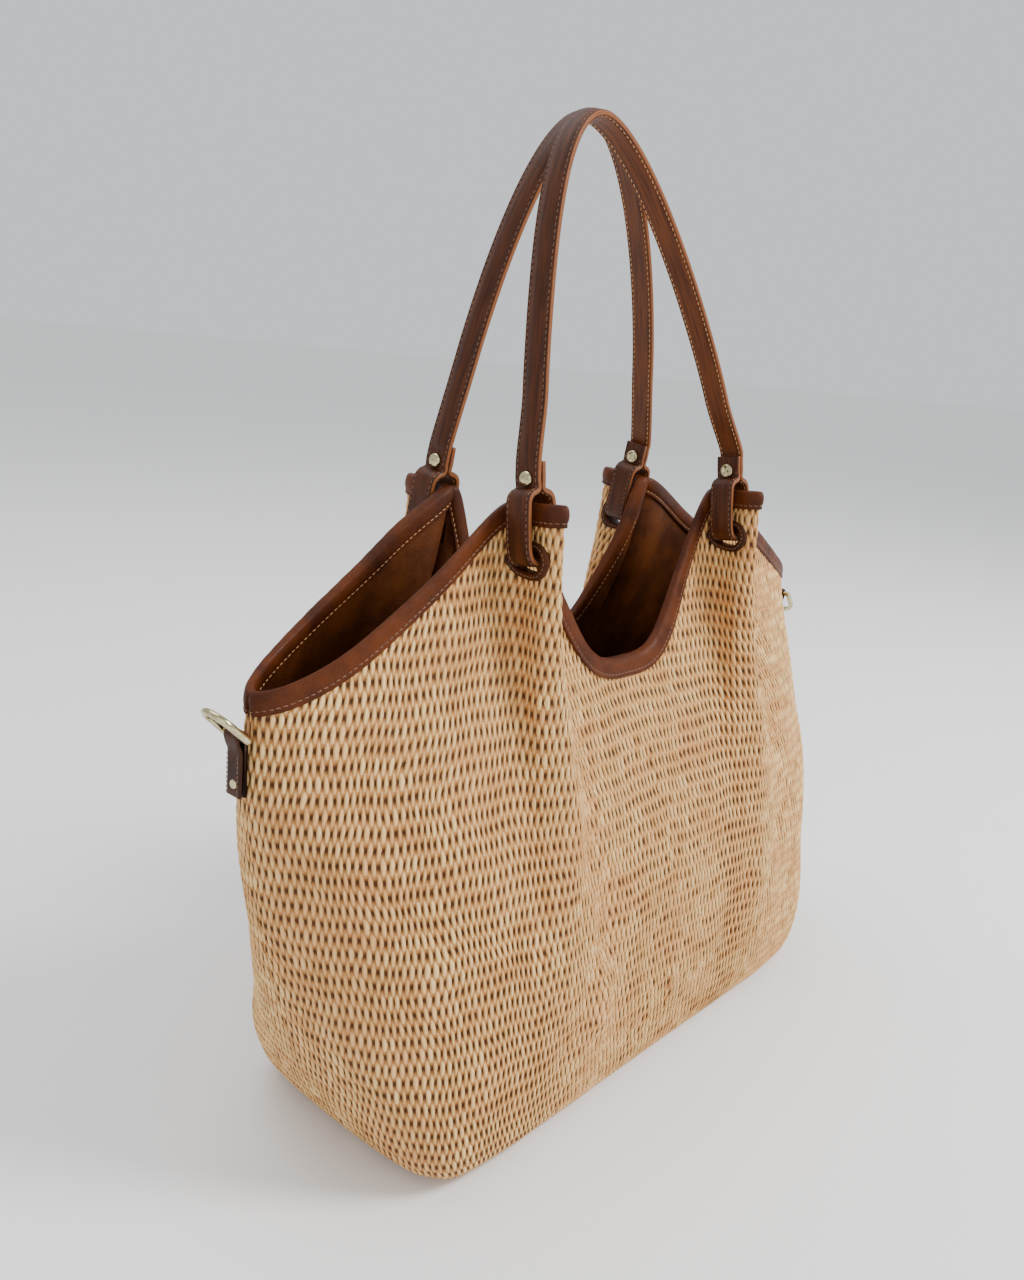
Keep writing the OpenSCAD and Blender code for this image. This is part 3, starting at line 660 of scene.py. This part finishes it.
def around_mouth(face, spacing=1.7):
    """Evenly spaced places and sides along the mouth edge of one face."""
    u, side = across_panel(np.linspace(0, MIDDLE, 1201))
    edge = body_point(u, mouth(u, side, face), 0, side, face)
    s = lengths_along(edge)
    count = int(round(s[-1] / spacing))
    mark = np.interp(np.linspace(0, s[-1], count + 1), s, np.arange(len(u)))
    place = np.interp(mark, np.arange(len(u)), u)
    return place, np.where(mark < len(u) // 2, LEFT, RIGHT)


def binding_piece(label, face):
    u, side = around_mouth(face)
    profile = [(w, -out) for w, out in BINDING_PROFILE]
    profile += [(w, CLOTH_DEPTH + out) for w, out in BINDING_PROFILE[::-1]]
    ripple = 1 + 0.06 * np.sin(np.arange(len(u)) * 1.13) + 0.05 * np.sin(np.arange(len(u)) * 0.47)
    rings = []
    for w, d in profile:
        rolled = w < BINDING_STITCH and d < 0
        rings.append(below_edge(u, w + 0 * u, d * (ripple if rolled else 1 + 0 * u), side, face))
    rings = np.stack(rings, 1)
    rings = rings[:, ::-1] if face == FRONT else rings
    piece = sweep(f"mouth_binding_{label}", rings, TRIM)
    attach(piece, "bag")
    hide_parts(f"binding_{label}")
    lines = {}
    for name, depth, way in (("outside", -1.05, -1), ("inside", CLOTH_DEPTH + 1.05, 1)):
        line = below_edge(u, BINDING_STITCH + 0 * u, depth, side, face)
        beyond = below_edge(u, BINDING_STITCH + 0 * u, depth + 0.6 * way, side, face)
        lines[name] = (line, unit(beyond - line))
    for name, thread in (("outside", DARK_THREAD), ("inside", TAN_THREAD)):
        sewn = stitches(f"binding_stitches_{label}_{name}", [lines[name]], thread, slant=0.12)
        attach(sewn, "bag")


# ---------------------------------------------------------------- patches round the slots

def fold_wall(y, z, side, face, outer):
    """Place of a fold's flat face at distance y from the middle plane and height z."""
    places = np.linspace(3.0, FOLD_TIP, 81) if outer else np.linspace(9.0, FOLD_TIP, 81)
    wall = body_point(places[None, :], z[:, None] + 0 * places[None, :], 0, side, face)
    reach = np.abs(wall[..., 1])
    return np.array([np.interp(y[k], reach[k], wall[k, :, 0]) for k in range(len(y))])


def stadium_ring(width, height, count):
    """Points round a slot-shaped outline, as distances from its middle."""
    turn = np.arange(count) * 2 * np.pi / count
    straight = (width - height) / 2
    return np.stack([np.cos(turn) * height / 2 + straight * np.clip(np.cos(turn) * 2.4, -1, 1),
                     np.sin(turn) * height / 2], -1)


# Across a patch, from the slot to its outer edge: share of the way, and height above the cloth.
# The first place is moved to the middle of the fold, so that the two patches line the slot.
PATCH_PROFILE = [(0, 0), (0, 0.7), (0.06, 1.15), (0.3, 1.35), (0.5, 1.15), (0.62, 1.3),
                 (0.88, 1.2), (0.98, 0.75), (1, -0.3)]
PATCH_COUNT = 72


def patch_pair(label, name, face, side):
    """The two oval patches of one corner, with the thread that holds them."""
    inner = stadium_ring(SLOT_WIDTH, SLOT_HEIGHT, PATCH_COUNT)
    outer = stadium_ring(PATCH_WIDTH, PATCH_HEIGHT, PATCH_COUNT) + [PATCH_SHIFT, 0]
    pieces, lines = [], []
    for outside in (True, False):
        way = side if outside else -side
        rings = []
        for share, height in PATCH_PROFILE + [(0.5, 1.3)]:
            flat = inner + (outer - inner) * share
            y, z = SLOT_Y + flat[:, 0], SLOT_Z + flat[:, 1]
            x = fold_wall(y, z, side, face, outside)
            if not rings:
                x = np.full(PATCH_COUNT, float(side * FOLD_X[face]))
            rings.append(np.stack([x + way * height, face * y, z], -1))
        stitch_line = np.concatenate([rings[-1], rings[-1][:1]])
        lines.append((stitch_line, np.tile([way, 0.0, 0.0], (len(stitch_line), 1))))
        rings = np.array(rings[:-1])
        if way * face > 0:
            rings = rings[:, ::-1]
        pieces.append(rings)
    count = len(PATCH_PROFILE)
    quads = [grid_quads(count, PATCH_COUNT, closed=True) + k * count * PATCH_COUNT for k in range(2)]
    piece = make_mesh(f"slot_patches_{label}_{name}", np.concatenate([p.reshape(-1, 3) for p in pieces]),
                      np.concatenate(quads), PATCH)
    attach(piece, "bag")
    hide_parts(f"patches_{label}_{name}")
    sewn = stitches(f"patch_stitches_{label}_{name}", lines, DARK_THREAD, pitch=2.6, length=1.8, radius=0.28)
    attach(sewn, "bag")


# ---------------------------------------------------------------- handles

STRAP_OFFSET = 2.1
TAB_OFFSET = -STRAP_OFFSET + 0.4
# Middle line of the right-hand strap loop: x from the fold, z from the slot, padding share.
LOOP = [(TAB_OFFSET, RIVET_RISE + 9, 0), (TAB_OFFSET, RIVET_RISE, 0), (TAB_OFFSET, RIVET_RISE - 5.2, 0),
        (-7, RIVET_RISE - 7.6, 0), (-9.4, 31, 0), (-10, 24, 0), (-10.2, 12, 0), (-10, 6, 0), (-8.6, 1.2, 0),
        (-5, -1.4, 0), (0, -2, 0), (5, -1.4, 0), (8.6, 1.2, 0), (10, 6, 0), (10.2, 12, 0), (10, 24, 0),
        (9.4, 31, 0), (7, RIVET_RISE - 7.6, 0), (STRAP_OFFSET, RIVET_RISE - 5.2, 0),
        (STRAP_OFFSET, RIVET_RISE, 0), (STRAP_OFFSET - 0.4, RIVET_RISE + 6, 0),
        (STRAP_OFFSET - 1.4, RIVET_RISE + 14, 0.7)]


def arch(turn, face):
    """Middle line of a handle's arch, from its right foot to its left foot."""
    height = HANDLE_HEIGHT[face] - STRAP_LAYER - PADDING - SLOT_Z - RIVET_RISE
    x = np.sign(np.cos(turn)) * np.abs(np.cos(turn)) ** (2 / 1.9)
    z = np.sin(turn) ** (2 / HANDLE_FULLNESS[face])
    reach = (FOLD_X[face] - 0.1) * x + HANDLE_LEAN[face] * z**1.3
    return np.stack([reach, RIVET_RISE + height * z, 1 + 0 * z], -1)


def spline_through(points, steps):
    """A smooth line through points, with steps places between each two."""
    p = np.concatenate([points[:1], points, points[-1:]])
    t = np.linspace(0, 1, steps, endpoint=False)[:, None]
    parts = []
    for a, b, c, d in zip(p[:-3], p[1:-2], p[2:-1], p[3:]):
        parts.append(0.5 * (2 * b + (c - a) * t + (2 * a - 5 * b + 4 * c - d) * t**2
                            + (3 * b - a - 3 * c + d) * t**3))
    return np.concatenate(parts + [points[-1:]])


def handle_line(face):
    loop = np.array(LOOP, float)
    right = loop + [FOLD_X[face], 0, 0]
    left = loop[::-1] * [-1, 1, 1] - [FOLD_X[face], 0, 0]
    line = spline_through(np.concatenate([right, arch(np.radians(np.arange(24, 157, 6)), face), left]), 5)
    line[:, 2] = np.clip(line[:, 2], 0, 1)
    return line


def handle_place(face):
    """Matrix that stands a handle's own plane on its slots, leaning towards the other one."""
    tilt = math.atan((SLOT_Y - STRAP_WIDTH / 2 - 0.4) / (HANDLE_HEIGHT[FRONT] - SLOT_Z))
    turn = np.array(Matrix.Rotation(face * tilt, 3, "X"))
    return turn, np.array([0, face * SLOT_Y, SLOT_Z])


def place(points, face):
    turn, origin = handle_place(face)
    return points @ turn.T + origin


def out_of(line):
    run = unit(np.gradient(line[:, :2], axis=0))
    return np.stack([run[:, 1], -run[:, 0]], -1)


def strap_ring(line, across, heights):
    """Points at distances across and heights out from the middle line, ring by ring."""
    out = out_of(line)
    x = line[:, None, 0] + heights * out[:, None, 0]
    z = line[:, None, 1] + heights * out[:, None, 1]
    return np.stack([x, np.broadcast_to(across, x.shape), z], -1)


HALF = STRAP_WIDTH / 2
ACROSS = np.array([-8, -7.9, -7.6, -7.1, -6.6, STITCH_Y * -1, -6.0, -5.4, -4.5, -3, -1.5, 0,
                   1.5, 3, 4.5, 5.4, 6.0, STITCH_Y, 6.6, 7.1, 7.6, 7.9, 8])


def face_relief(across):
    """Rounded rim and sewn groove across one face of a strap, in millimetres."""
    out = np.abs(across)
    rim = -1.0 * smooth(HALF - 0.7, HALF, out) ** 2
    groove = -0.32 * np.exp(-((out - STITCH_Y) / 0.35) ** 2)
    return rim + groove


def swell(across):
    return PADDING * np.maximum(0, 1 - (across / 6.0) ** 2)


def strap_part(name, line, face, outward, material, padded):
    """One leather layer of a strap; outward is 1 for the half-round face, -1 for the flat one."""
    full = line[:, None, 2] * padded
    skin = STRAP_LAYER + STRAP_GAP / 2 + face_relief(ACROSS)[None, :] + full * swell(ACROSS)[None, :]
    under = STRAP_GAP / 2 + full * swell(ACROSS)[None, ::-1] * 0.9
    rings = np.concatenate([strap_ring(line, ACROSS[None, :], outward * skin),
                            strap_ring(line, ACROSS[None, ::-1], outward * under)], 1)
    along = np.repeat(lengths_along(line[:, :2])[:, None], rings.shape[1], 1)
    uv = np.stack([along, rings[..., 1]], -1)
    if outward < 0:
        rings, uv = rings[:, ::-1], uv[:, ::-1]
    return sweep(name, place(rings, face), material, uv)


def handle_piece(label, face):
    body = f"handle_{label}"
    line = handle_line(face)
    cover = strap_part(f"handle_cover_{label}", line, face, 1, STRAP, 1)
    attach(cover, body)
    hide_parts(f"handle_{label}_leather", f"handle_{label}_core")
    flat = strap_part(f"handle_inside_{label}", line, face, -1, BACKING, 0)
    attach(flat, body)
    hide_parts(f"handle_{label}_backing")
    out = out_of(line)
    for name, way, thread in (("outside", 1, DARK_THREAD), ("inside", -1, TAN_THREAD)):
        lines = []
        for y in (-STITCH_Y, STITCH_Y):
            sewn = strap_ring(line[6:-6], np.array([[y]]), np.full((len(line) - 12, 1), way * 1.42))[:, 0]
            normals = way * np.stack([out[6:-6, 0], 0 * out[6:-6, 0], out[6:-6, 1]], -1)
            lines.append((place(sewn, face), normals @ handle_place(face)[0].T))
        piece = stitches(f"handle_stitches_{label}_{name}", lines, thread, slant=0.1)
        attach(piece, body)


# ---------------------------------------------------------------- ring tabs and metal

def ring_tab(name, side):
    """A leather strip folded round the bar of a D-ring, both ends sewn to the end seam."""
    low, high = (np.array(v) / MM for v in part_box(f"ring_tab_{name}"))
    width = high[1] - low[1]
    radius = 3.48
    bar_x = low[0] + radius if side == RIGHT else high[0] - radius
    bar = np.array([bar_x, (low[1] + high[1]) / 2, high[2] - radius])
    layer = 1.6
    middle = radius - layer / 2
    length = high[2] - low[2] - radius
    turn = np.radians(np.linspace(180, 0, 17))
    down = np.linspace(0, 1, 10)[1:]
    back = [(-middle, -length * (1 - k)) for k in down[::-1] - 0.1]
    loop = [(middle * math.cos(t), middle * math.sin(t)) for t in turn]
    front = [(middle - (middle - 0.0 + 0.1 - 0.15) * smooth(0, 0.28, k) , -length * k) for k in down]
    path = np.array([(-middle, -length)] + back + loop + front)
    run = unit(np.gradient(path, axis=0))
    out = np.stack([-run[:, 1], run[:, 0]], -1)
    half = width / 2
    across = np.array([-half, -half + 0.15, -half + 0.6, -half + 1.6, 0,
                       half - 1.6, half - 0.6, half - 0.15, half])
    rim = 0.55 * smooth(half - 0.8, half, np.abs(across)) ** 2
    rings = []
    for p, n in zip(path, out):
        top = [(p[0] + n[0] * (layer / 2 - e), y, p[1] + n[1] * (layer / 2 - e)) for y, e in zip(across, rim)]
        under = [(p[0] - n[0] * (layer / 2 - e), y, p[1] - n[1] * (layer / 2 - e))
                 for y, e in zip(across[::-1], rim[::-1])]
        rings.append(top + under)
    rings = np.array(rings) * [side, 1, 1] + bar
    rings = rings if side == RIGHT else rings[:, ::-1]
    piece = sweep(f"ring_loop_{name}", rings, TAB)
    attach(piece, "bag")
    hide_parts(f"ring_tab_{name}")
    lines = []
    for y in (-half + 1.3, half - 1.3):
        face_x = bar[0] + side * (layer * 0.5 + 0.85)
        z = np.linspace(bar[2] - length + 1.5, bar[2] - length * 0.32, 12)
        line = np.stack([face_x + 0 * z, bar[1] + y + 0 * z, z], -1)
        lines.append((line, np.tile([side, 0.0, 0.0], (len(z), 1))))
    sewn = stitches(f"ring_loop_stitches_{name}", lines, DARK_THREAD, pitch=2.4, length=1.7, radius=0.2)
    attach(sewn, "bag")


RIVET_CAP = [(0, 4.1), (0.35, 4.2), (0.7, 4.1), (1.25, 3.5), (1.75, 2.55), (2.05, 1.5),
             (2.18, 0.6), (2.2, 0.02)]
WASHER = [(0, 4.1), (0.5, 4.2), (0.85, 4.05), (1.0, 3.6), (0.95, 3.0), (0.7, 2.6), (0.3, 2.4),
          (0.2, 1.6), (0.35, 0.7),
          (0.4, 0.02)]
TURNING_STEPS = 40


def turning(node, profile, material, body):
    """A round metal head in place of a CAD node; it stands on the strap, away from the fold."""
    low, high = (np.array(v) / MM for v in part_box(node))
    middle = (low + high) / 2
    fold = math.copysign(FOLD_X[FRONT if "front" in node else BACK], middle[0])
    way = 1 if middle[0] > fold else -1
    foot = (high[0] - profile[-1][0]) if way > 0 else (low[0] + profile[-1][0])
    turn = np.arange(TURNING_STEPS) * 2 * np.pi / TURNING_STEPS
    rings = []
    for h, r in profile:
        ring = [foot + way * h + 0 * turn, middle[1] + r * np.cos(turn), middle[2] + r * np.sin(turn)]
        rings.append(np.stack(ring, -1))
    if way < 0:
        rings = [ring[::-1] for ring in rings]
    faces = grid_quads(len(profile), TURNING_STEPS, closed=True)
    piece = make_mesh(f"{node}_head", np.array(rings), faces, material)
    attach(piece, body)
    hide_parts(node)


def paint(node, material):
    """Gives a kept frame node its finished material."""
    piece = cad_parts[node]
    piece.data.materials.clear()
    piece.data.materials.append(material)


def paint_metal():
    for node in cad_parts:
        if node.startswith("ring_rivet") or node in ("ring_left", "ring_right"):
            paint(node, METAL)
    paint("base_board", BOARD)


# ---------------------------------------------------------------- camera, floor and light

CAMERA_PLACE = Vector((-0.538, -0.406, 0.428))
CAMERA_YAW, CAMERA_PITCH, CAMERA_ROLL = 49.6, 14.8, 5.2
CAMERA_LENS, CAMERA_SENSOR = 30.94, 36.0


def add_camera():
    yaw, pitch, roll = (math.radians(v) for v in (CAMERA_YAW, CAMERA_PITCH, CAMERA_ROLL))
    ahead = Vector((math.sin(yaw) * math.cos(pitch), math.cos(yaw) * math.cos(pitch), -math.sin(pitch)))
    level_right = Vector((math.cos(yaw), -math.sin(yaw), 0))
    level_up = level_right.cross(ahead)
    right = level_right * math.cos(roll) + level_up * math.sin(roll)
    up = -level_right * math.sin(roll) + level_up * math.cos(roll)
    data = bpy.data.cameras.new("camera")
    data.lens, data.sensor_width = CAMERA_LENS, CAMERA_SENSOR
    data.clip_start, data.clip_end = 0.02, 30
    camera = bpy.data.objects.new("camera", data)
    turn = Matrix((right, up, -ahead)).transposed()
    camera.matrix_world = Matrix.Translation(CAMERA_PLACE) @ turn.to_4x4()
    bpy.context.scene.collection.objects.link(camera)
    bpy.context.scene.camera = camera


def add_floor():
    mesh = bpy.data.meshes.new("floor")
    reach = 60.0
    corners = [(-reach, -reach, 0), (reach, -reach, 0), (reach, reach, 0), (-reach, reach, 0)]
    mesh.from_pydata(corners, [], [(0, 1, 2, 3)])
    floor = bpy.data.objects.new("floor", mesh)
    s = Shader("floor", roughness=0.9, specular=0.0)
    grain = s.noise(s.place(), 0.01, detail=2.0)
    mesh.materials.append(s.finish(s.mix(grain, (0.93, 0.93, 0.925, 1), (0.96, 0.96, 0.955, 1))))
    bpy.context.scene.collection.objects.link(floor)


def add_light(name, spot, aim, size, power):
    data = bpy.data.lights.new(name, "AREA")
    data.shape, data.size, data.energy = "DISK", size, power
    light = bpy.data.objects.new(name, data)
    way = Vector(aim) - Vector(spot)
    light.matrix_world = Matrix.Translation(spot) @ way.to_track_quat("-Z", "Y").to_matrix().to_4x4()
    bpy.context.scene.collection.objects.link(light)


def add_lights():
    add_light("key", (1.1, -1.5, 1.8), (0, 0, 0.2), 0.9, 62)
    add_light("fill", (-1.5, -1.2, 0.9), (0, 0, 0.25), 1.6, 7)
    add_light("top", (-0.2, 0.6, 2.2), (0, 0, 0.3), 1.6, 18)
    world = bpy.data.worlds.new("studio")
    world.use_nodes = True
    world.node_tree.nodes["Background"].inputs[0].default_value = (0.95, 0.97, 1.0, 1)
    world.node_tree.nodes["Background"].inputs[1].default_value = 0.85
    bpy.context.scene.world = world


# ---------------------------------------------------------------- everything

add_camera()
add_floor()
add_lights()
for label, face in FACES.items():
    woven_panel(label, face)
    lining_piece(label, face)
    binding_piece(label, face)
    handle_piece(label, face)
    for name, side in SIDES.items():
        patch_pair(label, name, face, side)
        turning(f"rivet_{label}_{name}", RIVET_CAP, METAL, f"handle_{label}")
        turning(f"washer_{label}_{name}", WASHER, METAL, f"handle_{label}")
for name, side in SIDES.items():
    ring_tab(name, side)
paint_metal()
